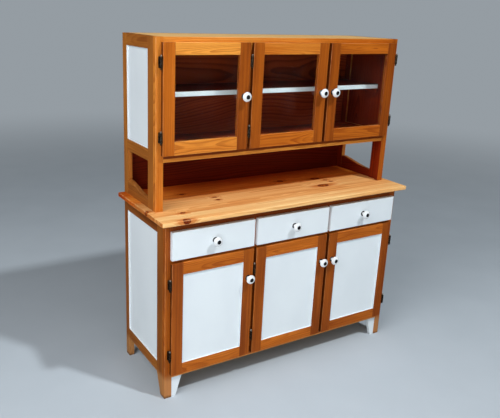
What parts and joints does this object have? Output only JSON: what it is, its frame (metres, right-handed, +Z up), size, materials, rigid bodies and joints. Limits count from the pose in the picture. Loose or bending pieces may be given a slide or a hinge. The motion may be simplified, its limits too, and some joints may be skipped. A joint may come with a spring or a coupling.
{
  "type": "kitchen dresser cabinet",
  "caption": "Two-part kitchen dresser: base with drawers and panelled doors on tapered legs, worktop, open niche and a hutch with glazed doors.",
  "frame": {"origin": "on the floor, at the middle of the overall box seen from above, porcelain knobs included", "axes": "+Z up; -Y to the front, where the doors and drawers are; +X to the right as seen from the front"},
  "size_m": [1.364, 0.498, 1.566],
  "materials": {
    "pine": "satin varnish over orange pine",
    "honey_pine": "satin varnish over honey pine",
    "dark_pine": "dark stain",
    "raw_pine": "plain pine",
    "white_paint": "white satin paint on board",
    "clear_glass": "clear pane",
    "porcelain": "gloss glaze",
    "pewter": "dark antique"
  },
  "bodies": {
    "cabinet": {"worktop": "honey_pine", "base_face_frame": "pine", "base_left_side_frame": "pine", "base_right_side_frame": "pine", "base_left_side_panel": "white_paint", "base_right_side_panel": "white_paint", "left_foot_bracket": "white_paint", "right_foot_bracket": "white_paint", "base_bottom_board": "raw_pine", "base_shelf": "raw_pine", "base_back_panel": "dark_pine", "drawer_runner_frame": "raw_pine", "hutch_face_frame": "pine", "hutch_left_side_frame": "pine", "hutch_right_side_frame": "pine", "hutch_left_side_panel": "white_paint", "hutch_right_side_panel": "white_paint", "hutch_top_board": "pine", "hutch_bottom_board": "pine", "hutch_shelf": "white_paint", "hutch_back_panel": "dark_pine", "lower_left_door_bottom_hinge": "pewter", "lower_left_door_top_hinge": "pewter", "lower_middle_door_bottom_hinge": "pewter", "lower_middle_door_top_hinge": "pewter", "lower_right_door_bottom_hinge": "pewter", "lower_right_door_top_hinge": "pewter", "upper_left_door_bottom_hinge": "pewter", "upper_left_door_top_hinge": "pewter", "upper_middle_door_bottom_hinge": "pewter", "upper_middle_door_top_hinge": "pewter", "upper_right_door_bottom_hinge": "pewter", "upper_right_door_top_hinge": "pewter"},
    "lower_left_door": {"lower_left_door_frame": "pine", "lower_left_door_panel": "white_paint", "lower_left_door_knob": "porcelain"},
    "lower_middle_door": {"lower_middle_door_frame": "pine", "lower_middle_door_panel": "white_paint", "lower_middle_door_knob": "porcelain"},
    "lower_right_door": {"lower_right_door_frame": "pine", "lower_right_door_panel": "white_paint", "lower_right_door_knob": "porcelain"},
    "upper_left_door": {"upper_left_door_frame": "pine", "upper_left_door_glass": "clear_glass", "upper_left_door_knob": "porcelain"},
    "upper_middle_door": {"upper_middle_door_frame": "pine", "upper_middle_door_glass": "clear_glass", "upper_middle_door_knob": "porcelain"},
    "upper_right_door": {"upper_right_door_frame": "pine", "upper_right_door_glass": "clear_glass", "upper_right_door_knob": "porcelain"},
    "left_drawer": {"left_drawer_front": "white_paint", "left_drawer_box": "raw_pine", "left_drawer_knob": "porcelain"},
    "middle_drawer": {"middle_drawer_front": "white_paint", "middle_drawer_box": "raw_pine", "middle_drawer_knob": "porcelain"},
    "right_drawer": {"right_drawer_front": "white_paint", "right_drawer_box": "raw_pine", "right_drawer_knob": "porcelain"}
  },
  "joints": [
    {"name": "lower_left_door_swing", "type": "hinge", "parent": "cabinet", "child": "lower_left_door", "pos_m": [-0.634, -0.211, 0.38775], "axis": [0, 0, -1], "range_deg": [0, 110]},
    {"name": "lower_middle_door_swing", "type": "hinge", "parent": "cabinet", "child": "lower_middle_door", "pos_m": [-0.21133, -0.211, 0.38775], "axis": [0, 0, -1], "range_deg": [0, 100]},
    {"name": "lower_right_door_swing", "type": "hinge", "parent": "cabinet", "child": "lower_right_door", "pos_m": [0.634, -0.211, 0.38775], "axis": [0, 0, 1], "range_deg": [0, 110]},
    {"name": "upper_left_door_swing", "type": "hinge", "parent": "cabinet", "child": "upper_left_door", "pos_m": [-0.634, -0.113, 1.319], "axis": [0, 0, -1], "range_deg": [0, 110]},
    {"name": "upper_middle_door_swing", "type": "hinge", "parent": "cabinet", "child": "upper_middle_door", "pos_m": [-0.21133, -0.113, 1.319], "axis": [0, 0, -1], "range_deg": [0, 100]},
    {"name": "upper_right_door_swing", "type": "hinge", "parent": "cabinet", "child": "upper_right_door", "pos_m": [0.634, -0.113, 1.319], "axis": [0, 0, 1], "range_deg": [0, 110]},
    {"name": "left_drawer_slide", "type": "slide", "parent": "cabinet", "child": "left_drawer", "axis": [0, -1, 0], "range_m": [0, 0.3]},
    {"name": "middle_drawer_slide", "type": "slide", "parent": "cabinet", "child": "middle_drawer", "axis": [0, -1, 0], "range_m": [0, 0.3]},
    {"name": "right_drawer_slide", "type": "slide", "parent": "cabinet", "child": "right_drawer", "axis": [0, -1, 0], "range_m": [0, 0.3]}
  ]
}
